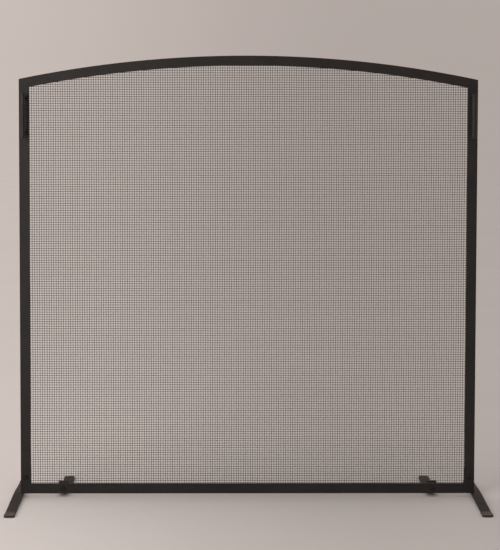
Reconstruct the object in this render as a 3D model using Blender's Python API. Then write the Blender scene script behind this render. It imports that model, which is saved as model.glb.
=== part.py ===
"""Free-standing arched fireplace screen: a flat-bar frame, a woven wire panel clamped behind it,
two bar handles and four bolted feet.

Metres, +Z up, X to the right and -Y towards the room. The origin lies on the floor, in the middle
of the footprint; Y = 0 is the middle of the front bars' thickness.
"""

import math

import bmesh
import bpy
from mathutils import Matrix, Vector

# Frame: its outer width, the height of its straight sides, the rise of the arch and its floor gap
FRAME_WIDTH = 1.016
SIDE_HEIGHT = 0.927
ARCH_RISE = 0.0525
FLOOR_GAP = 0.009
BAR_WIDTH = 0.022
BAR_THICKNESS = 0.006
BAR_EDGE = 0.0005
ARC_STEPS = 32

# Wire panel and the strips that clamp it against the back of the frame
CLEARANCE = 0.0003
PANEL_THICKNESS = 0.0021
PANEL_INSET = 0.004
STRIP_WIDTH = 0.016
STRIP_THICKNESS = 0.003
STRIP_EDGE = 0.0004
STRIP_INSET = (BAR_WIDTH - STRIP_WIDTH) / 2
MITRE_RELIEF = 0.0004

# Feet: flat bar of one stock, a through bar under each corner and a bracket behind the bottom bar
FOOT_WIDTH = 0.0215
FOOT_THICKNESS = 0.005
FOOT_EDGE = 0.0005
FOOT_OVERHANG = 0.0165
FRONT_REACH = 0.190
CORNER_BACK_REACH = 0.150
TOE_LENGTH = 0.034
TOE_RADIUS = 0.006
TOE_FLARE = 0.0010
TOE_STATIONS = (0.07, 0.28, 0.6, 1.0)
RAMP_STEPS = 8
SADDLE_LENGTH = 0.030
UPRIGHT_TOP = 0.064
UPRIGHT_SHOULDER = 0.006
BRACKET_X = 0.414
BRACKET_TOP = 0.034
BRACKET_BEND = 0.0065
BEND_STEPS = 6
BRACKET_RISE = 0.006
BRACKET_RAMP = 0.050
BACK_REACH = 0.190

# Foot bolts
BOLT_RADIUS = 0.003
BOLT_HOLE_RADIUS = 0.0034
BOLT_HEAD_RADIUS = 0.0055
BOLT_HEAD_HEIGHT = 0.0033
SOCKET_RADIUS = 0.0022
SOCKET_DEPTH = 0.0019
CORNER_BOLT_HEIGHT = 0.046
NUT_ACROSS_CORNERS = 0.0115
NUT_HEIGHT = 0.005
WASHER_RADIUS = 0.006
WASHER_THICKNESS = 0.0012
BOLT_TAIL = 0.0015

# Strip screws and handle screws
SCREW_RADIUS = 0.0018
SCREW_HOLE_RADIUS = 0.0022
SCREW_HEAD_RADIUS = 0.0035
SCREW_HEAD_HEIGHT = 0.0022
BLIND_DEPTH = 0.0042
SCREW_END_GAP = 0.0005
SCREWS_PER_SIDE = 4
LOWEST_SIDE_SCREW = 0.115
HIGHEST_SIDE_SCREW = 0.775
OUTERMOST_RAIL_SCREW = 0.360

# Handles
HANDLE_CENTRE_HEIGHT = 0.856
HANDLE_POST_SPACING = 0.0762
HANDLE_LENGTH = 0.100
HANDLE_RADIUS = 0.005
HANDLE_PROJECTION = 0.031
POST_RADIUS = 0.004
HANDLE_SCREW_BITE = 0.010

# Facets of round shapes, and how far a cutter passes the face it cuts through
HOLE_SIDES = 12
SCREW_SIDES = 12
BOLT_SIDES = 16
POST_SIDES = 16
GRIP_SIDES = 20
CUP_SIDES = 32
HEXAGON = 6
CUT_MARGIN = 0.001

# Derived levels
HALF_WIDTH = FRAME_WIDTH / 2
CORNER_HEIGHT = FLOOR_GAP + SIDE_HEIGHT
ARC_RADIUS = (ARCH_RISE**2 + HALF_WIDTH**2) / (2 * ARCH_RISE)
ARC_CENTRE_HEIGHT = CORNER_HEIGHT + ARCH_RISE - ARC_RADIUS
BAR_FRONT = -BAR_THICKNESS / 2
BAR_BACK = BAR_THICKNESS / 2
PANEL_FRONT = BAR_BACK + CLEARANCE
PANEL_BACK = PANEL_FRONT + PANEL_THICKNESS
STRIP_FRONT = PANEL_BACK + CLEARANCE
STRIP_BACK = STRIP_FRONT + STRIP_THICKNESS
PLATE_FRONT = STRIP_BACK + CLEARANCE
PLATE_BACK = PLATE_FRONT + FOOT_THICKNESS
BAR_CENTRE_X = HALF_WIDTH - BAR_WIDTH / 2
RAIL_CENTRE_HEIGHT = FLOOR_GAP + BAR_WIDTH / 2


def clear_scene():
    for item in list(bpy.data.objects):
        bpy.data.objects.remove(item, do_unlink=True)


def make_material(name, color, roughness, metallic):
    """A plain material of the part's own."""
    material = bpy.data.materials.new(name)
    material.use_nodes = True
    shader = material.node_tree.nodes["Principled BSDF"]
    shader.inputs["Base Color"].default_value = (*color, 1.0)
    shader.inputs["Roughness"].default_value = roughness
    shader.inputs["Metallic"].default_value = metallic
    return material


def dark_bar_paint(name):
    """Dark brown-black satin paint on the frame bars."""
    return make_material(name, (0.030, 0.026, 0.023), 0.5, 0.0)


def foot_paint(name):
    """The same paint, a little more worn, on the feet."""
    return make_material(name, (0.045, 0.040, 0.036), 0.5, 0.0)


def wire_finish(name):
    """Dark wire cloth."""
    return make_material(name, (0.060, 0.052, 0.046), 0.55, 0.2)


def black_steel(name):
    """Blackened steel of the small fasteners."""
    return make_material(name, (0.020, 0.019, 0.018), 0.45, 0.6)


def link_object(name, bm):
    """Turns a bmesh into a named object whose faces point outwards."""
    bmesh.ops.recalc_face_normals(bm, faces=bm.faces)
    mesh = bpy.data.meshes.new(name)
    bm.to_mesh(mesh)
    bm.free()
    item = bpy.data.objects.new(name, mesh)
    bpy.context.scene.collection.objects.link(item)
    return item


def finish_object(name, bm, material):
    """A visible sub-part with its material, smooth where it is round."""
    item = link_object(name, bm)
    item.data.shade_smooth()
    item.data.set_sharp_from_angle(angle=math.radians(35))
    item.data.materials.append(material)
    return item


def add_edge_round(item, width):
    """A narrow chamfer along the long edges of a flat bar."""
    bevel = item.modifiers.new("edge_round", "BEVEL")
    bevel.width = width
    bevel.segments = 1
    bevel.limit_method = "ANGLE"
    bevel.angle_limit = math.radians(50)


def make_cutter(name, bm):
    """A helper body that only takes part in Booleans."""
    cutter = link_object(name, bm)
    cutter.hide_render = True
    cutter.display_type = "WIRE"
    return cutter


def add_boolean(item, cutter, operation):
    boolean = item.modifiers.new(cutter.name, "BOOLEAN")
    boolean.operation = operation
    boolean.solver = "EXACT"
    boolean.object = cutter


def add_rod(bm, x, z, radius, y_start, y_end, sides):
    """A straight round rod along Y inside an existing bmesh."""
    turn = Matrix.Rotation(math.radians(90), 4, "X")
    place = Matrix.Translation((x, (y_start + y_end) / 2, z)) @ turn
    bmesh.ops.create_cone(
        bm,
        cap_ends=True,
        segments=sides,
        radius1=radius,
        radius2=radius,
        depth=abs(y_end - y_start),
        matrix=place,
    )


def drill(item, holes, radius, y_start, y_end):
    """Cuts round holes along Y at each (x, z) of a list, from a first depth to past a face."""
    bm = bmesh.new()
    for x, z in holes:
        add_rod(bm, x, z, radius, y_start, y_end, HOLE_SIDES)
    cutter = make_cutter(f"{item.name}_drill_{len(item.modifiers)}", bm)
    add_boolean(item, cutter, "DIFFERENCE")


def through(y_front, y_back):
    """A cutter's ends for a hole right through a layer."""
    return y_front - CUT_MARGIN, y_back + CUT_MARGIN


def lathe(bm, profile, sides, place):
    """Turns (radius, height) points about a local Z axis; the first and last points are on it."""
    rings = []
    for radius, height in profile:
        if radius == 0:
            rings.append([bm.verts.new(place @ Vector((0, 0, height)))])
            continue
        ring = []
        for step in range(sides):
            angle = 2 * math.pi * step / sides
            point = Vector((radius * math.cos(angle), radius * math.sin(angle), height))
            ring.append(bm.verts.new(place @ point))
        rings.append(ring)
    for lower, upper in zip(rings, rings[1:]):
        for step in range(sides):
            after = (step + 1) % sides
            if len(lower) == 1:
                bm.faces.new((lower[0], upper[after], upper[step]))
            elif len(upper) == 1:
                bm.faces.new((lower[step], lower[after], upper[0]))
            else:
                bm.faces.new((lower[step], lower[after], upper[after], upper[step]))


def facing(x, y, z, direction):
    """Places a local +Z axis at a point, along -Y (to the front) or +Y (to the back)."""
    angle = math.radians(90) if direction == "front" else math.radians(-90)
    return Matrix.Translation((x, y, z)) @ Matrix.Rotation(angle, 4, "X")


# Frame, panel and strips


def arc_height(x, inset):
    """Height of the arch at x, for a line that runs a set distance inside the outer edge."""
    return ARC_CENTRE_HEIGHT + math.sqrt((ARC_RADIUS - inset) ** 2 - x**2)


def corner_points(side, inset):
    """Bottom and top corners of a line that runs a set distance inside the frame's outer edge."""
    x = HALF_WIDTH - inset
    bottom = (side * x, FLOOR_GAP + inset)
    top = (side * x, arc_height(x, inset))
    return bottom, top


def arc_points(inset):
    """Points from left to right along the arch at a set distance inside its outer edge."""
    half = math.asin((HALF_WIDTH - inset) / (ARC_RADIUS - inset))
    points = []
    for step in range(ARC_STEPS + 1):
        angle = -half + 2 * half * step / ARC_STEPS
        x = (ARC_RADIUS - inset) * math.sin(angle)
        z = ARC_CENTRE_HEIGHT + (ARC_RADIUS - inset) * math.cos(angle)
        points.append((x, z))
    return points


def add_band(bm, pairs, y_front, y_back):
    """A flat bar whose face is a run of quads between two edge lines, given as (outer, inner)."""
    rows = []
    for outer, inner in pairs:
        row = [
            bm.verts.new((outer[0], y_front, outer[1])),
            bm.verts.new((inner[0], y_front, inner[1])),
            bm.verts.new((inner[0], y_back, inner[1])),
            bm.verts.new((outer[0], y_back, outer[1])),
        ]
        rows.append(row)
    for first, second in zip(rows, rows[1:]):
        for index in range(4):
            after = (index + 1) % 4
            bm.faces.new((first[index], first[after], second[after], second[index]))
    bm.faces.new(rows[0])
    bm.faces.new(list(reversed(rows[-1])))


def side_pairs(side, outer_inset, inner_inset):
    """Mitred ends of an upright; it stops a little short so the mitres don't touch."""
    outer_bottom, outer_top = corner_points(side, outer_inset)
    inner_bottom, inner_top = corner_points(side, inner_inset)
    lower = (
        (outer_bottom[0], outer_bottom[1] + MITRE_RELIEF),
        (inner_bottom[0], inner_bottom[1] + MITRE_RELIEF),
    )
    upper = (
        (outer_top[0], outer_top[1] - MITRE_RELIEF),
        (inner_top[0], inner_top[1] - MITRE_RELIEF),
    )
    return [lower, upper]


def bottom_pairs(outer_inset, inner_inset):
    left = (corner_points(-1, outer_inset)[0], corner_points(-1, inner_inset)[0])
    right = (corner_points(1, outer_inset)[0], corner_points(1, inner_inset)[0])
    return [left, right]


def top_pairs(outer_inset, inner_inset):
    return list(zip(arc_points(outer_inset), arc_points(inner_inset)))


def make_band(name, pairs, y_front, y_back, material, edge):
    bm = bmesh.new()
    add_band(bm, pairs, y_front, y_back)
    item = finish_object(name, bm, material)
    add_edge_round(item, edge)
    return item


def make_four_bars(names, outer_inset, inner_inset, y_front, y_back, material_maker, edge):
    """Left, right, top and bottom bars of one mitred layer."""
    runs = [
        side_pairs(-1, outer_inset, inner_inset),
        side_pairs(1, outer_inset, inner_inset),
        top_pairs(outer_inset, inner_inset),
        bottom_pairs(outer_inset, inner_inset),
    ]
    bars = []
    for name, pairs in zip(names, runs):
        material = material_maker(name + "_finish")
        bars.append(make_band(name, pairs, y_front, y_back, material, edge))
    return bars


def make_frame():
    names = ["left_side_bar", "right_side_bar", "arched_top_bar", "bottom_bar"]
    return make_four_bars(names, 0, BAR_WIDTH, BAR_FRONT, BAR_BACK, dark_bar_paint, BAR_EDGE)


def make_strips():
    names = ["left_clamp_strip", "right_clamp_strip", "top_clamp_strip", "bottom_clamp_strip"]
    inner = STRIP_INSET + STRIP_WIDTH
    depths = (STRIP_FRONT, STRIP_BACK)
    return make_four_bars(names, STRIP_INSET, inner, *depths, dark_bar_paint, STRIP_EDGE)


def make_panel():
    """The wire cloth as a thin plate of its true outline and thickness."""
    bm = bmesh.new()
    pairs = []
    for x, z in arc_points(PANEL_INSET):
        pairs.append(((x, z), (x, FLOOR_GAP + PANEL_INSET)))
    add_band(bm, pairs, PANEL_FRONT, PANEL_BACK)
    return finish_object("mesh_panel", bm, wire_finish("mesh_panel_finish"))


# Screws


def spread(first, last, count):
    """Evenly spaced values from the first to the last."""
    return [first + (last - first) * step / (count - 1) for step in range(count)]


def strip_screw_places():
    """Where each strip is screwed to its bar."""
    heights = spread(LOWEST_SIDE_SCREW, HIGHEST_SIDE_SCREW, SCREWS_PER_SIDE)
    across = spread(-OUTERMOST_RAIL_SCREW, OUTERMOST_RAIL_SCREW, SCREWS_PER_SIDE)
    return {
        "left": [(-BAR_CENTRE_X, z) for z in heights],
        "right": [(BAR_CENTRE_X, z) for z in heights],
        "top": [(x, arc_height(x, BAR_WIDTH / 2)) for x in across],
        "bottom": [(x, RAIL_CENTRE_HEIGHT) for x in across],
    }


def pan_head_profile(length):
    """A pan-head screw: its head stands on local +Z, its shank runs down to -length."""
    return [
        (0, -length),
        (SCREW_RADIUS * 0.7, -length),
        (SCREW_RADIUS, -length + SCREW_RADIUS * 0.4),
        (SCREW_RADIUS, 0),
        (SCREW_HEAD_RADIUS, 0),
        (SCREW_HEAD_RADIUS, SCREW_HEAD_HEIGHT * 0.45),
        (SCREW_HEAD_RADIUS * 0.72, SCREW_HEAD_HEIGHT),
        (0, SCREW_HEAD_HEIGHT),
    ]


def make_back_screw(name, x, z, length):
    """A screw with its head behind a strip."""
    bm = bmesh.new()
    seat = facing(x, STRIP_BACK + CLEARANCE, z, "back")
    lathe(bm, pan_head_profile(length), SCREW_SIDES, seat)
    return finish_object(name, bm, black_steel(name + "_finish"))


def fit_strip_screws(frame, strips, panel):
    """Screws through the strips and the panel into blind holes in the back of the frame."""
    length = STRIP_BACK + CLEARANCE - BAR_BACK + BLIND_DEPTH - SCREW_END_GAP
    places = strip_screw_places()
    for order, key in enumerate(["left", "right", "top", "bottom"]):
        holes = places[key]
        blind = (BAR_BACK - BLIND_DEPTH, BAR_BACK + CUT_MARGIN)
        drill(frame[order], holes, SCREW_HOLE_RADIUS, *blind)
        drill(strips[order], holes, SCREW_HOLE_RADIUS, *through(STRIP_FRONT, STRIP_BACK))
        for number, (x, z) in enumerate(holes, start=1):
            make_back_screw(f"{key}_strip_screw_{number}", x, z, length)
    all_holes = [hole for key in places for hole in places[key]]
    drill(panel, all_holes, SCREW_HOLE_RADIUS, *through(PANEL_FRONT, PANEL_BACK))


# Feet


def smooth_step(part):
    """An S-curve from 0 to 1."""
    return part * part * (3 - 2 * part)


def corner_foot_path():
    """Side view of a corner foot's middle line: flat toes, straight low ramps and a level saddle."""
    low = FOOT_THICKNESS / 2
    high = FLOOR_GAP - CLEARANCE - FOOT_THICKNESS / 2
    return [
        (-FRONT_REACH, low),
        (-FRONT_REACH + TOE_LENGTH, low),
        (-SADDLE_LENGTH / 2, high),
        (SADDLE_LENGTH, high),
        (CORNER_BACK_REACH - TOE_LENGTH, low),
        (CORNER_BACK_REACH, low),
    ]


def bracket_path():
    """Side view of a bracket's middle line: a tab behind the rail, a bend, a slope and a flat toe."""
    middle = FOOT_THICKNESS / 2
    y_plate = PLATE_FRONT + middle
    z_bend = BRACKET_RISE + middle
    points = [(y_plate, BRACKET_TOP)]
    for angle in spread(0, math.radians(90), BEND_STEPS + 1):
        y = y_plate + BRACKET_BEND * (1 - math.cos(angle))
        z = z_bend + BRACKET_BEND * (1 - math.sin(angle))
        points.append((y, z))
    y_slope = points[-1][0]
    for part in spread(0, 1, RAMP_STEPS + 1)[1:]:
        z = z_bend - BRACKET_RISE * smooth_step(part)
        points.append((y_slope + part * BRACKET_RAMP, z))
    points.append((BACK_REACH, middle))
    return points


def with_toe_stations(points):
    """Adds points near the first end of a path, where the bar's corners are rounded off."""
    (y0, z0), (y1, z1) = points[:2]
    run = math.hypot(y1 - y0, z1 - z0)
    parts = [station * TOE_RADIUS / run for station in TOE_STATIONS]
    extra = [(y0 + part * (y1 - y0), z0 + part * (z1 - z0)) for part in parts]
    return [points[0]] + extra + points[1:]


def toe_half_width(distance):
    """Half the bar's width at a distance from a rounded end, where the toe is hammered wider."""
    widening = (TOE_LENGTH - distance) / (TOE_LENGTH - TOE_RADIUS)
    half = FOOT_WIDTH / 2 + TOE_FLARE * min(max(widening, 0), 1)
    if distance >= TOE_RADIUS:
        return half
    return half - TOE_RADIUS + math.sqrt(TOE_RADIUS**2 - (TOE_RADIUS - distance) ** 2)


def chamfered_section(half):
    """Corner offsets of the stock's section, as (across, through) pairs with cut corners."""
    side = half - FOOT_EDGE
    face = FOOT_THICKNESS / 2
    step = face - FOOT_EDGE
    return [
        (-half, step),
        (-side, face),
        (side, face),
        (half, step),
        (half, -step),
        (side, -face),
        (-side, -face),
        (-half, -step),
    ]


def loft_flat_bar(bm, x, points, both_ends_round):
    """A flat bar bent along a path in the YZ plane, with one or both ends rounded off."""
    path = with_toe_stations(points[::-1])[::-1]
    if both_ends_round:
        path = with_toe_stations(path)
    vectors = [Vector((0, y, z)) for y, z in path]
    lengths = [0.0]
    for first, second in zip(vectors, vectors[1:]):
        lengths.append(lengths[-1] + (second - first).length)
    rings = []
    for index, centre in enumerate(vectors):
        before = vectors[max(index - 1, 0)]
        after = vectors[min(index + 1, len(vectors) - 1)]
        along = (after - before).normalized()
        normal = Vector((0, -along.z, along.y))
        distance = lengths[-1] - lengths[index]
        if both_ends_round:
            distance = min(distance, lengths[index])
        half = toe_half_width(distance)
        ring = []
        for across, through in chamfered_section(half):
            ring.append(bm.verts.new(centre + Vector((x + across, 0, 0)) + normal * through))
        rings.append(ring)
    count = len(rings[0])
    for first, second in zip(rings, rings[1:]):
        for index in range(count):
            after = (index + 1) % count
            bm.faces.new((first[index], first[after], second[after], second[index]))
    bm.faces.new(rings[0])
    bm.faces.new(list(reversed(rings[-1])))


def make_upright(side):
    """The plate that stands on a corner foot behind the side bar; it is welded into the foot."""
    bm = bmesh.new()
    outer = side * HALF_WIDTH
    inner = side * (HALF_WIDTH - BAR_WIDTH)
    root = side * (HALF_WIDTH + FOOT_OVERHANG - FOOT_WIDTH)
    bottom = FLOOR_GAP - CLEARANCE - FOOT_THICKNESS
    shoulder = FLOOR_GAP + UPRIGHT_SHOULDER
    pairs = [
        ((outer, bottom), (root, bottom)),
        ((outer, FLOOR_GAP), (root, FLOOR_GAP)),
        ((outer, shoulder), (inner, shoulder)),
        ((outer, UPRIGHT_TOP), (inner, UPRIGHT_TOP)),
    ]
    add_band(bm, pairs, PLATE_FRONT, PLATE_BACK)
    return make_cutter(f"upright_{'left' if side < 0 else 'right'}", bm)


def make_corner_foot(side):
    """A through bar under a frame corner, with its welded upright plate."""
    name = "left_corner_foot" if side < 0 else "right_corner_foot"
    x = side * (HALF_WIDTH + FOOT_OVERHANG - FOOT_WIDTH / 2)
    bm = bmesh.new()
    loft_flat_bar(bm, x, corner_foot_path(), True)
    foot = finish_object(name, bm, foot_paint(name + "_finish"))
    add_boolean(foot, make_upright(side), "UNION")
    hole = [(side * BAR_CENTRE_X, CORNER_BOLT_HEIGHT)]
    drill(foot, hole, BOLT_HOLE_RADIUS, *through(PLATE_FRONT, PLATE_BACK))
    return foot


def make_back_bracket(side):
    """An L of flat bar: a tab bolted behind the bottom bar and a leg along the floor."""
    name = "left_back_foot" if side < 0 else "right_back_foot"
    bm = bmesh.new()
    loft_flat_bar(bm, side * BRACKET_X, bracket_path(), False)
    foot = finish_object(name, bm, foot_paint(name + "_finish"))
    hole = [(side * BRACKET_X, RAIL_CENTRE_HEIGHT)]
    drill(foot, hole, BOLT_HOLE_RADIUS, *through(PLATE_FRONT, PLATE_BACK))
    return foot


def button_head_profile(length):
    """A button-head bolt: domed head on local +Z, shank down to -length."""
    return [
        (0, -length),
        (BOLT_RADIUS * 0.75, -length),
        (BOLT_RADIUS, -length + BOLT_RADIUS * 0.3),
        (BOLT_RADIUS, 0),
        (BOLT_HEAD_RADIUS, 0),
        (BOLT_HEAD_RADIUS, BOLT_HEAD_HEIGHT * 0.25),
        (BOLT_HEAD_RADIUS * 0.86, BOLT_HEAD_HEIGHT * 0.66),
        (BOLT_HEAD_RADIUS * 0.58, BOLT_HEAD_HEIGHT),
        (0, BOLT_HEAD_HEIGHT),
    ]


def make_foot_bolt(name, x, z):
    """A bolt from the front through bar, panel, strip and foot, with a hexagon socket."""
    y_seat = BAR_FRONT - CLEARANCE
    length = PLATE_BACK + WASHER_THICKNESS + NUT_HEIGHT + BOLT_TAIL + 2 * CLEARANCE - y_seat
    bm = bmesh.new()
    lathe(bm, button_head_profile(length), BOLT_SIDES, facing(x, y_seat, z, "front"))
    bolt = finish_object(name, bm, black_steel(name + "_finish"))
    socket = bmesh.new()
    y_face = y_seat - BOLT_HEAD_HEIGHT
    add_rod(socket, x, z, SOCKET_RADIUS, y_face - CUT_MARGIN, y_face + SOCKET_DEPTH, HEXAGON)
    add_boolean(bolt, make_cutter(name + "_socket", socket), "DIFFERENCE")
    return bolt


def make_ring(name, x, z, outer_radius, y_start, thickness, sides):
    """A flat ring along Y round a bolt: a washer when round, a nut when it has six sides."""
    bm = bmesh.new()
    add_rod(bm, x, z, outer_radius, y_start, y_start + thickness, sides)
    ring = finish_object(name, bm, black_steel(name + "_finish"))
    drill(ring, [(x, z)], BOLT_RADIUS + CLEARANCE, *through(y_start, y_start + thickness))
    return ring


def make_bolt_set(name, x, z):
    """One foot bolt with its washer and nut behind the foot's plate."""
    y_washer = PLATE_BACK + CLEARANCE
    y_nut = y_washer + WASHER_THICKNESS + CLEARANCE
    make_foot_bolt(name + "_bolt", x, z)
    make_ring(name + "_washer", x, z, WASHER_RADIUS, y_washer, WASHER_THICKNESS, BOLT_SIDES)
    make_ring(name + "_nut", x, z, NUT_ACROSS_CORNERS / 2, y_nut, NUT_HEIGHT, HEXAGON)


def fit_feet(frame, strips, panel):
    """Four feet, each held by one bolt, washer and nut."""
    left_bar, right_bar, _, rail = frame
    left_strip, right_strip, _, rail_strip = strips
    corner = {side: (side * BAR_CENTRE_X, CORNER_BOLT_HEIGHT) for side in (-1, 1)}
    back = {side: (side * BRACKET_X, RAIL_CENTRE_HEIGHT) for side in (-1, 1)}
    for side, bar, strip in ((-1, left_bar, left_strip), (1, right_bar, right_strip)):
        word = "left" if side < 0 else "right"
        make_corner_foot(side)
        make_back_bracket(side)
        make_bolt_set(f"{word}_corner", *corner[side])
        make_bolt_set(f"{word}_back", *back[side])
        drill(bar, [corner[side]], BOLT_HOLE_RADIUS, *through(BAR_FRONT, BAR_BACK))
        drill(strip, [corner[side]], BOLT_HOLE_RADIUS, *through(STRIP_FRONT, STRIP_BACK))
    back_holes = list(back.values())
    drill(rail, back_holes, BOLT_HOLE_RADIUS, *through(BAR_FRONT, BAR_BACK))
    drill(rail_strip, back_holes, BOLT_HOLE_RADIUS, *through(STRIP_FRONT, STRIP_BACK))
    places = list(corner.values()) + back_holes
    drill(panel, places, BOLT_HOLE_RADIUS, *through(PANEL_FRONT, PANEL_BACK))


# Handles


def grip_profile():
    """A straight grip with softly rounded ends, from its lower end up."""
    half = HANDLE_LENGTH / 2
    soft = HANDLE_RADIUS * 0.4
    return [
        (0, -half),
        (HANDLE_RADIUS - soft, -half),
        (HANDLE_RADIUS - soft * 0.3, -half + soft * 0.3),
        (HANDLE_RADIUS, -half + soft),
        (HANDLE_RADIUS, half - soft),
        (HANDLE_RADIUS - soft * 0.3, half - soft * 0.3),
        (HANDLE_RADIUS - soft, half),
        (0, half),
    ]


def make_grip(name, x):
    bm = bmesh.new()
    y = BAR_FRONT - HANDLE_PROJECTION + HANDLE_RADIUS
    lathe(bm, grip_profile(), GRIP_SIDES, Matrix.Translation((x, y, HANDLE_CENTRE_HEIGHT)))
    return finish_object(name, bm, dark_bar_paint(name + "_finish"))


def make_post(name, x, z):
    """A post from the side bar to the grip: cupped round the grip, bored for its screw."""
    y_bar = BAR_FRONT - CLEARANCE
    y_grip = BAR_FRONT - HANDLE_PROJECTION + HANDLE_RADIUS
    bm = bmesh.new()
    add_rod(bm, x, z, POST_RADIUS, y_grip, y_bar, POST_SIDES)
    post = finish_object(name, bm, dark_bar_paint(name + "_finish"))
    cup = bmesh.new()
    bmesh.ops.create_cone(
        cup,
        cap_ends=True,
        segments=CUP_SIDES,
        radius1=HANDLE_RADIUS + CLEARANCE,
        radius2=HANDLE_RADIUS + CLEARANCE,
        depth=4 * POST_RADIUS,
        matrix=Matrix.Translation((x, y_grip, z)),
    )
    add_boolean(post, make_cutter(name + "_cup", cup), "DIFFERENCE")
    drill(post, [(x, z)], SCREW_HOLE_RADIUS, y_bar - HANDLE_SCREW_BITE, y_bar + CUT_MARGIN)
    return post


def fit_handles(frame, strips, panel):
    """A bar pull on each side bar, held by two screws from behind."""
    half = HANDLE_POST_SPACING / 2
    heights = {"upper": HANDLE_CENTRE_HEIGHT + half, "lower": HANDLE_CENTRE_HEIGHT - half}
    length = STRIP_BACK + CLEARANCE - BAR_FRONT + CLEARANCE + HANDLE_SCREW_BITE - SCREW_END_GAP
    every_hole = []
    for order, side in enumerate((-1, 1)):
        word = "left" if side < 0 else "right"
        x = side * BAR_CENTRE_X
        make_grip(f"{word}_handle_grip", x)
        for place, z in heights.items():
            make_post(f"{word}_handle_{place}_post", x, z)
        holes = [(x, z) for z in heights.values()]
        drill(frame[order], holes, SCREW_HOLE_RADIUS, *through(BAR_FRONT, BAR_BACK))
        drill(strips[order], holes, SCREW_HOLE_RADIUS, *through(STRIP_FRONT, STRIP_BACK))
        for place, z in heights.items():
            make_back_screw(f"{word}_handle_{place}_screw", x, z, length)
        every_hole += holes
    drill(panel, every_hole, SCREW_HOLE_RADIUS, *through(PANEL_FRONT, PANEL_BACK))


def main():
    clear_scene()
    frame = make_frame()
    strips = make_strips()
    panel = make_panel()
    fit_strip_screws(frame, strips, panel)
    fit_feet(frame, strips, panel)
    fit_handles(frame, strips, panel)


main()
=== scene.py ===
"""Looks of a free-standing arched fireplace screen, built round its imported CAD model.

Metres, +Z up, the room on the -Y side. The CAD bars, strips, feet, handles and fasteners stay and get
their paints; the plain panel is replaced by real woven wire.
"""

import math

import bmesh
import bpy
import numpy as np
from mathutils import Matrix, Vector


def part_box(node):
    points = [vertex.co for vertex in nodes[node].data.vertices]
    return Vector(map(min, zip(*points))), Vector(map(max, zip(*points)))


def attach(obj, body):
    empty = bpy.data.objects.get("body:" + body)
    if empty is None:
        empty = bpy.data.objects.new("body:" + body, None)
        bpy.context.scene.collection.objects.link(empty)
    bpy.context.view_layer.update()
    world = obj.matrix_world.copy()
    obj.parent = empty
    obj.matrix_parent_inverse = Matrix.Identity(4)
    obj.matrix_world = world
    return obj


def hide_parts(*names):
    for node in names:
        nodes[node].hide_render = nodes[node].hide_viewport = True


# Woven wire
WIRE_PITCH = 0.00528
WIRE_RADIUS = 0.00052
WIRE_SIDES = 6
WIRE_GAP = 0.00002
WIRE_END_GAP = 0.0003
LEVEL_PART = 0.25
CLOTH_INSET = 0.004
CLOTH_EDGE_PART = 0.3
WIRE_SCATTER = 0.00006
CLOTH_DRIFT = 0.00022
SLOW_DRIFT = (0.46, 0.95)
QUICK_DRIFT = (0.19, -0.55)
MAX_GROUP_TRIANGLES = 181000

# Shanks that pass through the cloth
BOLT_SHANK = 0.003
SCREW_SHANK = 0.0018
HOLE_CLEARANCE = 0.0007

# Ground welds in the frame's mitres
MITRE_GAP = 0.0004
WELD_LIP = 0.0005
WELD_SINK = 0.00002
WELD_END = 0.0006
WELD_STEP = 0.0015

# Paint: features per metre, and depths in metres
BLOTCHES = 14
SPECKLES = 420
SMUDGES = 30
RUBBED_PATCHES = 55
PEEL = 650
FINE_PEEL = 2600
PEEL_DEPTH = 0.00002
PAINT_WEAR_WIDTH = 0.0009
# Toe tops: rubbed paint together with a painted highlight of the light from above
TOE_PATCHES = 170
TOE_BORDER = 120
TOE_BORDER_DEPTH = 0.008
TOE_RUB_AND_HIGHLIGHT_START = -0.152
TOE_RUB_AND_HIGHLIGHT_END = -0.172
WIRE_PATCHES = 90
STEEL_GRAIN = 500
STEEL_PITS = 1800
STEEL_PIT_DEPTH = 0.00001
STEEL_WEAR_WIDTH = 0.0004

# Camera: place, turn about Z, tilt, roll, lens and shift
CAMERA_PLACE = (-0.0545, -4.187, 0.9937)
CAMERA_YAW = math.radians(-0.789)
CAMERA_PITCH = math.radians(-3.685)
CAMERA_ROLL = math.radians(-0.135)
SENSOR_MM = 36.0
LENS_MM = 1890.8 * SENSOR_MM / 550
SHIFT_Y = -100 / 550

# Studio: light, floor, and the light falling off from left to right by sideways distance over distance
# ahead, painted into the floor's colour and real world light in the sky
HORIZON = (0.488, 0.426, 0.397)
ZENITH = (0.671, 0.586, 0.546)
SOFTBOX_PLACE = (-1.9, -3.4, 1.3)
SOFTBOX_TARGET = (-0.3, 0, 0.6)
SOFTBOX_SIZE = 1.4
SOFTBOX_WATTS = 6.3
SOFTBOX_SPREAD = math.radians(60)
SOFTBOX_COLOR = (1.0, 0.97, 0.95)
FLOOR_HALF_SIZE = 300
FLOOR_MOTTLING = 3
FLOOR_DARK = 0.745
FLOOR_LIGHT = 0.765
SIDE_LIGHT_FALLOFF = {"From Min": -0.16, "From Max": 0.08, "To Min": 1.22, "To Max": 0.90}
SKY_REACH = 0.02

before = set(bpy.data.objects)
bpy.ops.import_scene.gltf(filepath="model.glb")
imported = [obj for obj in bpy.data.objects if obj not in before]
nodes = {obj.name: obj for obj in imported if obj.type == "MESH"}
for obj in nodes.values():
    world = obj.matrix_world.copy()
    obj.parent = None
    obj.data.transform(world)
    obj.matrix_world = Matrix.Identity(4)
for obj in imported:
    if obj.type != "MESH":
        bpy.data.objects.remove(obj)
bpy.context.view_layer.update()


# Materials


def math_node(tree, operation, first, second):
    """A maths node whose inputs are sockets or plain numbers."""
    node = tree.nodes.new("ShaderNodeMath")
    node.operation = operation
    for socket, value in zip(node.inputs, (first, second)):
        if isinstance(value, (int, float)):
            socket.default_value = value
        else:
            tree.links.new(value, socket)
    return node.outputs["Value"]


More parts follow.
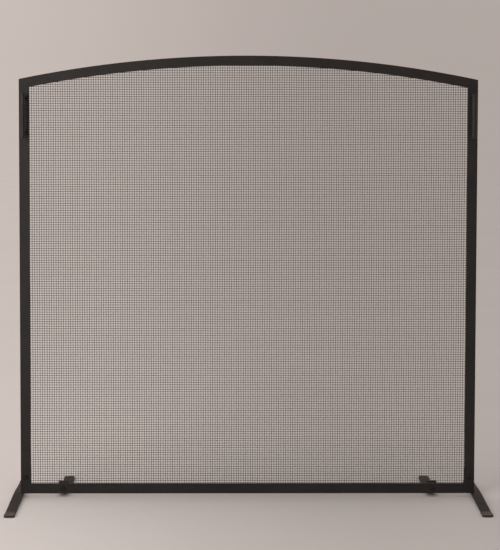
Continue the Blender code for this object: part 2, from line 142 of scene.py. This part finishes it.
def split_vector(tree, vector):
    """The X, Y and Z sockets of a vector."""
    node = tree.nodes.new("ShaderNodeSeparateXYZ")
    tree.links.new(vector, node.inputs["Vector"])
    return node.outputs


class Graph:
    """A short way to write a material's nodes."""

    def __init__(self, name):
        self.material = bpy.data.materials.new(name)
        self.material.use_nodes = True
        self.tree = self.material.node_tree
        self.shader = self.tree.nodes["Principled BSDF"]
        coordinates = self.tree.nodes.new("ShaderNodeTexCoord")
        self.place = coordinates.outputs["Object"]

    def link(self, source, target):
        self.tree.links.new(source, target)

    def put(self, socket, value):
        """A constant is written on the shader's own socket."""
        self.shader.inputs[socket].default_value = value

    def noise(self, scale, detail, roughness, offset=0.0):
        """Noise from 0 to 1; scale is in features per metre."""
        node = self.tree.nodes.new("ShaderNodeTexNoise")
        node.inputs["Scale"].default_value = scale
        node.inputs["Detail"].default_value = detail
        node.inputs["Roughness"].default_value = roughness
        mapping = self.tree.nodes.new("ShaderNodeMapping")
        mapping.inputs["Location"].default_value = (offset, offset * 0.7, offset * 1.3)
        self.link(self.place, mapping.inputs["Vector"])
        self.link(mapping.outputs["Vector"], node.inputs["Vector"])
        return node.outputs["Fac"]

    def ramp(self, source, low, high, to_low=0.0, to_high=1.0):
        """Turns low to high into to_low to to_high, and holds the ends."""
        node = self.tree.nodes.new("ShaderNodeMapRange")
        node.inputs["From Min"].default_value = low
        node.inputs["From Max"].default_value = high
        node.inputs["To Min"].default_value = to_low
        node.inputs["To Max"].default_value = to_high
        self.link(source, node.inputs["Value"])
        return node.outputs["Result"]

    def math(self, operation, first, second):
        return math_node(self.tree, operation, first, second)

    def mix(self, factor, first, second):
        """A colour between two, which are sockets or plain colours."""
        node = self.tree.nodes.new("ShaderNodeMix")
        node.data_type = "RGBA"
        self.link(factor, node.inputs[0])
        for socket, value in zip((node.inputs[6], node.inputs[7]), (first, second)):
            if isinstance(value, tuple):
                socket.default_value = (*value, 1.0)
            else:
                self.link(value, socket)
        return node.outputs[2]

    def worn_edges(self, width):
        """1 along sharp edges, 0 on flat faces."""
        bevel = self.tree.nodes.new("ShaderNodeBevel")
        bevel.samples = 4
        bevel.inputs["Radius"].default_value = width
        plain = self.tree.nodes.new("ShaderNodeNewGeometry")
        dot = self.tree.nodes.new("ShaderNodeVectorMath")
        dot.operation = "DOT_PRODUCT"
        self.link(bevel.outputs["Normal"], dot.inputs[0])
        self.link(plain.outputs["True Normal"], dot.inputs[1])
        return self.ramp(dot.outputs["Value"], 0.995, 0.90)

    def toe_rub_and_highlight(self):
        """Patchy rubbing on top of the flat front toes, where shoes and brushes catch them, together
        with a painted highlight of the light from above on the toe tops.
        """
        border = self.ramp(self.noise(TOE_BORDER, 3, 0.6, 9.0), 0.3, 0.7, -1.0, 1.0)
        ragged = self.math("MULTIPLY", border, TOE_BORDER_DEPTH)
        along = self.math("ADD", split_vector(self.tree, self.place)["Y"], ragged)
        toe = self.ramp(along, TOE_RUB_AND_HIGHLIGHT_START, TOE_RUB_AND_HIGHLIGHT_END)
        plain = self.tree.nodes.new("ShaderNodeNewGeometry")
        # Only faces turned upward are lightened: a painted highlight where light from above falls on
        # the toes, as well as rubbing
        top = self.ramp(split_vector(self.tree, plain.outputs["True Normal"])["Z"], 0.4, 0.8)
        patches = self.ramp(self.noise(TOE_PATCHES, 3, 0.6, 5.0), 0.38, 0.62, 0.25, 0.85)
        return self.math("MULTIPLY", self.math("MULTIPLY", toe, top), patches)

    def bump(self, height, distance):
        """Relief of the surface, as deep as distance."""
        node = self.tree.nodes.new("ShaderNodeBump")
        node.inputs["Strength"].default_value = 1.0
        node.inputs["Distance"].default_value = distance
        self.link(height, node.inputs["Height"])
        self.link(node.outputs["Normal"], self.shader.inputs["Normal"])


def satin_paint(name, dark, light, rough, specular, worn, wear_and_toe_highlight_color, rubbed_and_highlit_toes=False):
    """Baked satin paint on steel: faint blotches, fine orange peel and rubbed edges; with the toe
    option, also rubbed paint and a painted highlight on the toe tops.
    """
    graph = Graph(name)
    blotches = graph.ramp(graph.noise(BLOTCHES, 4, 0.55), 0.35, 0.65, 0.0, 0.7)
    speckles = graph.ramp(graph.noise(SPECKLES, 3, 0.6, 3.0), 0.3, 0.7, 0.0, 0.3)
    paint = graph.mix(graph.math("ADD", blotches, speckles), dark, light)
    patches = graph.ramp(graph.noise(RUBBED_PATCHES, 4, 0.6, 7.0), 0.45, 0.7)
    edges = graph.worn_edges(PAINT_WEAR_WIDTH)
    rub = graph.math("MULTIPLY", edges, graph.math("MULTIPLY", patches, worn))
    if rubbed_and_highlit_toes:
        # On the feet the rubbed colour is also laid on the toe tops as a painted highlight, besides
        # real rubbing
        rub = graph.math("MAXIMUM", rub, graph.toe_rub_and_highlight())
    graph.link(graph.mix(rub, paint, wear_and_toe_highlight_color), graph.shader.inputs["Base Color"])
    smudges = graph.ramp(graph.noise(SMUDGES, 5, 0.6, 11.0), 0.3, 0.7, rough - 0.06, rough + 0.08)
    graph.link(smudges, graph.shader.inputs["Roughness"])
    fine = graph.math("MULTIPLY", graph.noise(FINE_PEEL, 1, 0.5), 0.35)
    graph.bump(graph.math("ADD", graph.noise(PEEL, 2, 0.5), fine), PEEL_DEPTH)
    graph.put("Metallic", 0.0)
    graph.put("Specular IOR Level", specular)
    return graph.material


def wire_coat(name):
    """Dark oxide-brown wire with slightly lighter, drier patches along its length."""
    graph = Graph(name)
    patches = graph.noise(WIRE_PATCHES, 4, 0.6)
    dark, light = (0.030, 0.026, 0.023), (0.060, 0.051, 0.045)
    color = graph.mix(graph.ramp(patches, 0.35, 0.65), dark, light)
    graph.link(color, graph.shader.inputs["Base Color"])
    graph.link(graph.ramp(patches, 0.3, 0.7, 0.42, 0.58), graph.shader.inputs["Roughness"])
    graph.put("Metallic", 0.0)
    graph.put("Specular IOR Level", 0.4)
    return graph.material


def black_oxide(name):
    """Blackened steel of bolts, washers, nuts and screws, with lighter rubbed edges."""
    graph = Graph(name)
    grain = graph.noise(STEEL_GRAIN, 4, 0.6)
    dark, light, rubbed = (0.005, 0.0044, 0.004), (0.012, 0.0108, 0.010), (0.05, 0.045, 0.042)
    color = graph.mix(graph.ramp(grain, 0.3, 0.7), dark, light)
    rub = graph.math("MULTIPLY", graph.worn_edges(STEEL_WEAR_WIDTH), 0.5)
    graph.link(graph.mix(rub, color, rubbed), graph.shader.inputs["Base Color"])
    graph.link(graph.ramp(grain, 0.3, 0.7, 0.34, 0.5), graph.shader.inputs["Roughness"])
    graph.bump(graph.noise(STEEL_PITS, 2, 0.5), STEEL_PIT_DEPTH)
    graph.put("Metallic", 0.0)
    graph.put("Specular IOR Level", 0.25)
    return graph.material


def paint_cad_nodes():
    """Puts the finished materials in the CAD nodes' slots; gives back the frame's paint."""
    dark = (0.0130, 0.0108, 0.0104)
    light = (0.0210, 0.0178, 0.0172)
    frame_paint = satin_paint(
        "satin_frame_paint", dark, light, 0.42, 0.24, 0.6, (0.046, 0.040, 0.036)
    )
    # The feet's paint is a lighter copy of the frame's black paint: painted light from above on the
    # up-facing feet. Their edges and toes are also rubbed.
    foot_paint = satin_paint(
        "lit_and_rubbed_foot_paint",
        (0.024, 0.0208, 0.0189),
        (0.044, 0.0380, 0.0342),
        0.66,
        0.20,
        0.8,
        # Colour of rubbed paint, also used as the painted highlight on the toe tops
        (0.19, 0.155, 0.145),
        rubbed_and_highlit_toes=True,
    )
    handle_paint = satin_paint(
        "satin_handle_paint", dark, light, 0.36, 0.30, 0.6, (0.050, 0.043, 0.038)
    )
    steel = black_oxide("black_oxide_steel")
    for name, node in nodes.items():
        if name.endswith(("_bolt", "_washer", "_nut")) or "_screw" in name:
            material = steel
        elif name.endswith("_foot"):
            material = foot_paint
        elif "_handle_" in name:
            material = handle_paint
        else:
            material = frame_paint
        for slot in node.material_slots:
            slot.material = material
    return frame_paint


# Ground welds


def make_corner_weld(name, outer, inner, gap, material):
    """Fills the mitre between two bars, flush with their faces; outer and inner are (x, z)."""
    low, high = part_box("bottom_bar")
    along = Vector((inner[0] - outer[0], 0, inner[1] - outer[1]))
    length = along.length
    along.normalize()
    across = Vector((-along.z, 0, along.x))
    start = Vector((outer[0], 0, outer[1] + gap / 2)) + along * WELD_END
    end = Vector((inner[0], 0, inner[1] + gap / 2)) - along * WELD_END
    half = abs(gap * along.x) / 2
    front, back = low.y + WELD_SINK, high.y - WELD_SINK
    section = [
        (-half - WELD_LIP, front),
        (half + WELD_LIP, front),
        (half, front + WELD_LIP),
        (half, back - WELD_LIP),
        (half + WELD_LIP, back),
        (-half - WELD_LIP, back),
        (-half, back - WELD_LIP),
        (-half, front + WELD_LIP),
    ]
    bm = bmesh.new()
    rings = []
    steps = max(2, int(length / WELD_STEP))
    for step in range(steps + 1):
        centre = start.lerp(end, step / steps)
        rings.append([bm.verts.new(centre + across * side + Vector((0, y, 0))) for side, y in section])
    count = len(section)
    for first, second in zip(rings, rings[1:]):
        for index in range(count):
            after = (index + 1) % count
            bm.faces.new((first[index], first[after], second[after], second[index]))
    bm.faces.new(rings[0])
    bm.faces.new(list(reversed(rings[-1])))
    bmesh.ops.recalc_face_normals(bm, faces=bm.faces)
    mesh = bpy.data.meshes.new(name)
    bm.to_mesh(mesh)
    bm.free()
    mesh.materials.append(material)
    weld = bpy.data.objects.new(name, mesh)
    bpy.context.scene.collection.objects.link(weld)
    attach(weld, "root")


def weld_corners(material):
    """One ground weld in each corner of the frame."""
    rail_low, rail_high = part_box("bottom_bar")
    side_low, side_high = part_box("left_side_bar")
    width = side_high.x - side_low.x
    half = rail_high.x
    centre_height, radius = arch_line()
    corner = side_high.z + MITRE_GAP
    inner_top = centre_height + math.sqrt((radius - width) ** 2 - (half - width) ** 2)
    for word, side in (("left", -1), ("right", 1)):
        outer, inner = side * half, side * (half - width)
        top = (outer, corner), (inner, inner_top)
        bottom = (outer, rail_low.z), (inner, rail_low.z + width)
        make_corner_weld(f"{word}_top_weld", *top, -MITRE_GAP, material)
        make_corner_weld(f"{word}_bottom_weld", *bottom, MITRE_GAP, material)


# Woven wire


def arch_line():
    """Centre height and radius of the arch's outer edge, from the top bar's box."""
    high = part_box("arched_top_bar")[1]
    rise = high.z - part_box("left_side_bar")[1].z - MITRE_GAP
    radius = (rise**2 + high.x**2) / (2 * rise)
    return high.z - radius, radius


def drilled_places():
    """Centre and reach, as (x, z, reach), of each screw and bolt that goes through the cloth."""
    places = []
    for name in nodes:
        if name.endswith("_bolt") or "_screw" in name:
            low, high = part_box(name)
            shank = BOLT_SHANK if name.endswith("_bolt") else SCREW_SHANK
            middle = (low + high) / 2
            places.append((middle.x, middle.z, shank + HOLE_CLEARANCE + WIRE_RADIUS))
    return places


def keep_runs(fixed, low, high, places, axis):
    """Splits a straight wire into runs that stay clear of the fasteners."""
    cuts = []
    for x, z, reach in places:
        across, centre = (x, z) if axis == "up" else (z, x)
        if abs(across - fixed) < reach:
            half = math.sqrt(reach**2 - (across - fixed) ** 2)
            cuts.append((centre - half, centre + half))
    runs = [(low, high)]
    for start, end in cuts:
        parts = []
        for a, b in runs:
            if end <= a or start >= b:
                parts.append((a, b))
                continue
            if start - a > WIRE_PITCH / 2:
                parts.append((a, start))
            if b - end > WIRE_PITCH / 2:
                parts.append((end, b))
        runs = parts
    return runs


def crimped_line(low, high, first, order, sign, height):
    """Stations along a wire: level over each crossing, sloping from one face to the other."""

    def side_of(crossing):
        return sign * height * (1 if (crossing + order) % 2 == 0 else -1)

    def depth_at(position):
        place = (position - first) / WIRE_PITCH
        crossing = round(place)
        slope = max(abs(place - crossing) - LEVEL_PART, 0) / (1 - 2 * LEVEL_PART)
        return side_of(crossing) * (1 - 2 * slope)

    half_pitch = WIRE_PITCH / 2
    first_step = math.ceil((low - first) / half_pitch - 0.5)
    last_step = math.ceil((high - first) / half_pitch - 0.5)
    stations = [low]
    depths = [depth_at(low)]
    for step in range(first_step, last_step + 1):
        position = first + (step + 0.5) * half_pitch
        if low < position < high:
            stations.append(position)
            depths.append(side_of((step + 1) // 2))
    stations.append(high)
    depths.append(depth_at(high))
    return np.array(stations), np.array(depths)


class WireGroup:
    """Collects tubes into one mesh."""

    def __init__(self, name, material):
        self.name = name
        self.material = material
        self.points = []
        self.quads = []
        self.caps = []
        self.count = 0
        self.triangles = 0

    def add(self, path, across, depth):
        """A tube along path; across and depth span its section."""
        n = len(path)
        angles = 2 * math.pi * np.arange(WIRE_SIDES) / WIRE_SIDES
        ring = WIRE_RADIUS * (np.cos(angles)[:, None] * across + np.sin(angles)[:, None] * depth)
        points = path[:, None, :] + ring[None, :, :]
        base = self.count
        index = base + np.arange(n * WIRE_SIDES).reshape(n, WIRE_SIDES)
        a = index[:-1]
        b = np.roll(index, -1, axis=1)[:-1]
        c = np.roll(index, -1, axis=1)[1:]
        d = index[1:]
        self.quads.append(np.stack([a, b, c, d], axis=-1).reshape(-1, 4))
        self.caps.append(index[0][::-1])
        self.caps.append(index[-1])
        self.points.append(points.reshape(-1, 3))
        self.count += n * WIRE_SIDES
        self.triangles += 2 * (n - 1) * WIRE_SIDES + 2 * (WIRE_SIDES - 2)

    def finish(self, flip):
        """Makes the mesh object; flip turns its faces round for tubes that run along X."""
        quads = np.concatenate(self.quads)
        caps = np.stack(self.caps)
        if flip:
            quads = quads[:, ::-1]
            caps = caps[:, ::-1]
        points = np.concatenate(self.points)
        mesh = bpy.data.meshes.new(self.name)
        mesh.vertices.add(len(points))
        mesh.vertices.foreach_set("co", points.astype(np.float32).ravel())
        loops = np.concatenate([quads.ravel(), caps.ravel()])
        mesh.loops.add(len(loops))
        mesh.loops.foreach_set("vertex_index", loops.astype(np.int32))
        starts = np.concatenate(
            [
                np.arange(len(quads)) * 4,
                len(quads) * 4 + np.arange(len(caps)) * WIRE_SIDES,
            ]
        )
        mesh.polygons.add(len(starts))
        mesh.polygons.foreach_set("loop_start", starts.astype(np.int32))
        smooth = np.ones(len(starts), dtype=bool)
        smooth[len(quads) :] = False
        mesh.polygons.foreach_set("use_smooth", smooth)
        mesh.update(calc_edges=True)
        mesh.validate()
        mesh.materials.append(self.material)
        piece = bpy.data.objects.new(self.name, mesh)
        bpy.context.scene.collection.objects.link(piece)
        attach(piece, "root")
        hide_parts("mesh_panel")


def drift(along, across, phase):
    """How far a wire strays sideways from its straight line, as the cloth is never quite true."""
    slow = np.sin(2 * math.pi * (along / SLOW_DRIFT[0] + across / SLOW_DRIFT[1]) + phase)
    quick = np.sin(2 * math.pi * (along / QUICK_DRIFT[0] + across / QUICK_DRIFT[1]) + 2.1 * phase)
    return CLOTH_DRIFT * (slow + 0.5 * quick)


def weave_wire():
    """Plain weave inside the panel's outline: upright wires, and cross wires passing them in turn."""
    low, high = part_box("mesh_panel")
    centre_height, radius = arch_line()
    radius -= CLOTH_INSET
    y = (low.y + high.y) / 2
    height = WIRE_RADIUS + WIRE_GAP / 2
    places = drilled_places()
    first_z = low.z + WIRE_PITCH * 0.5
    material = wire_coat("oxide_brown_wire")
    half_count = int(high.x / WIRE_PITCH - CLOTH_EDGE_PART)
    xs = [k * WIRE_PITCH for k in range(-half_count, half_count + 1)]
    z_count = int((high.z - first_z) / WIRE_PITCH) + 1
    scatter = np.random.default_rng(11)
    upright_scatter = scatter.normal(0, WIRE_SCATTER, len(xs))
    cross_scatter = scatter.normal(0, WIRE_SCATTER, z_count)

    def make(kind, lines, flip):
        group = None
        number = 0
        for path, across, depth in lines:
            if group is None or group.triangles > MAX_GROUP_TRIANGLES:
                if group is not None:
                    group.finish(flip)
                number += 1
                group = WireGroup(f"{kind}_{number}", material)
            group.add(path, across, depth)
        group.finish(flip)

    def upright_lines():
        for order, x in enumerate(xs):
            top = centre_height + math.sqrt(radius**2 - x**2)
            for start, end in keep_runs(x, low.z, top - WIRE_END_GAP, places, "up"):
                stations, values = crimped_line(start, end, first_z, order, 1, height)
                sideways = x + upright_scatter[order] + drift(stations, x, 0.3)
                path = np.stack([sideways, y + values, stations], axis=1)
                yield path, np.array([1.0, 0, 0]), np.array([0, 1.0, 0])

    def cross_lines():
        for order in range(z_count):
            z = first_z + order * WIRE_PITCH
            reach = high.x
            if z > centre_height + math.sqrt(radius**2 - high.x**2):
                inside = radius**2 - (z - centre_height) ** 2
                if inside <= 0:
                    continue
                reach = min(reach, math.sqrt(inside) - WIRE_END_GAP)
            if reach < WIRE_PITCH:
                continue
            for start, end in keep_runs(z, -reach, reach, places, "across"):
                stations, values = crimped_line(start, end, xs[0], order, -1, height)
                sideways = z + cross_scatter[order] + drift(stations, z, 1.7)
                path = np.stack([stations, y + values, sideways], axis=1)
                yield path, np.array([0, 0, 1.0]), np.array([0, 1.0, 0])

    make("woven_upright_wires", upright_lines(), False)
    make("woven_cross_wires", cross_lines(), True)


# Studio


def side_light_falloff(tree, vector, reach, color):
    """Makes a colour fall off softly from left to right, alike on the floor and in the sky: on the
    floor this is painted light from the left, in the sky it is real light.
    """
    parts = split_vector(tree, vector)
    ahead = math_node(tree, "ADD", math_node(tree, "MAXIMUM", parts["Y"], 0.0), reach)
    glow = tree.nodes.new("ShaderNodeMapRange")
    glow.interpolation_type = "SMOOTHSTEP"
    for name, value in SIDE_LIGHT_FALLOFF.items():
        glow.inputs[name].default_value = value
    tree.links.new(math_node(tree, "DIVIDE", parts["X"], ahead), glow.inputs["Value"])
    scale = tree.nodes.new("ShaderNodeVectorMath")
    scale.operation = "SCALE"
    tree.links.new(glow.outputs["Result"], scale.inputs["Scale"])
    tree.links.new(color, scale.inputs["Vector"])
    return scale.outputs["Vector"]


def make_floor():
    """A seamless pale floor that runs to the horizon."""
    bm = bmesh.new()
    bmesh.ops.create_grid(bm, x_segments=1, y_segments=1, size=FLOOR_HALF_SIZE)
    mesh = bpy.data.meshes.new("studio_floor")
    bm.to_mesh(mesh)
    bm.free()
    floor = bpy.data.objects.new("studio_floor", mesh)
    bpy.context.scene.collection.objects.link(floor)
    graph = Graph("pale_floor")
    mottling = graph.ramp(graph.noise(FLOOR_MOTTLING, 3, 0.5), 0.3, 0.7)
    tone = graph.mix(mottling, (FLOOR_DARK,) * 3, (FLOOR_LIGHT,) * 3)
    # Painted light: the floor's colour is made brighter on the left and darker on the right, standing
    # in for the light that falls from the left
    color = side_light_falloff(graph.tree, graph.place, -CAMERA_PLACE[1], tone)
    graph.link(color, graph.shader.inputs["Base Color"])
    graph.put("Roughness", 0.9)
    graph.put("Specular IOR Level", 0.0)
    mesh.materials.append(graph.material)


def make_world():
    """Soft light all round, a little brighter overhead than at the horizon."""
    world = bpy.data.worlds.new("studio")
    bpy.context.scene.world = world
    world.use_nodes = True
    tree = world.node_tree
    direction = tree.nodes.new("ShaderNodeTexCoord").outputs["Generated"]
    mix = tree.nodes.new("ShaderNodeMix")
    mix.data_type = "RGBA"
    mix.clamp_factor = True
    tree.links.new(split_vector(tree, direction)["Z"], mix.inputs[0])
    mix.inputs[6].default_value = (*HORIZON, 1.0)
    mix.inputs[7].default_value = (*ZENITH, 1.0)
    color = side_light_falloff(tree, direction, SKY_REACH, mix.outputs[2])
    tree.links.new(color, tree.nodes["Background"].inputs["Color"])


def add_softbox():
    """A square light in front, to the left, that reaches the frame but little of the floor."""
    data = bpy.data.lights.new("left_softbox", "AREA")
    data.shape = "SQUARE"
    data.size = SOFTBOX_SIZE
    data.spread = SOFTBOX_SPREAD
    data.energy = SOFTBOX_WATTS
    data.color = SOFTBOX_COLOR
    lamp = bpy.data.objects.new("left_softbox", data)
    lamp.location = SOFTBOX_PLACE
    lamp.rotation_mode = "QUATERNION"
    toward = Vector(SOFTBOX_TARGET) - Vector(SOFTBOX_PLACE)
    lamp.rotation_quaternion = toward.to_track_quat("-Z", "Y")
    bpy.context.scene.collection.objects.link(lamp)


def make_studio():
    make_floor()
    make_world()
    add_softbox()
    bpy.context.scene.view_settings.view_transform = "Standard"


def make_camera():
    data = bpy.data.cameras.new("camera")
    data.sensor_width = SENSOR_MM
    data.lens = LENS_MM
    data.shift_y = SHIFT_Y
    camera = bpy.data.objects.new("camera", data)
    turn = Matrix.Rotation(CAMERA_YAW, 4, "Z") @ Matrix.Rotation(CAMERA_PITCH, 4, "X")
    turn = turn @ Matrix.Rotation(CAMERA_ROLL, 4, "Y") @ Matrix.Rotation(math.radians(90), 4, "X")
    camera.matrix_world = Matrix.Translation(CAMERA_PLACE) @ turn
    bpy.context.scene.collection.objects.link(camera)
    bpy.context.scene.camera = camera


make_camera()
weld_corners(paint_cad_nodes())
weave_wire()
make_studio()
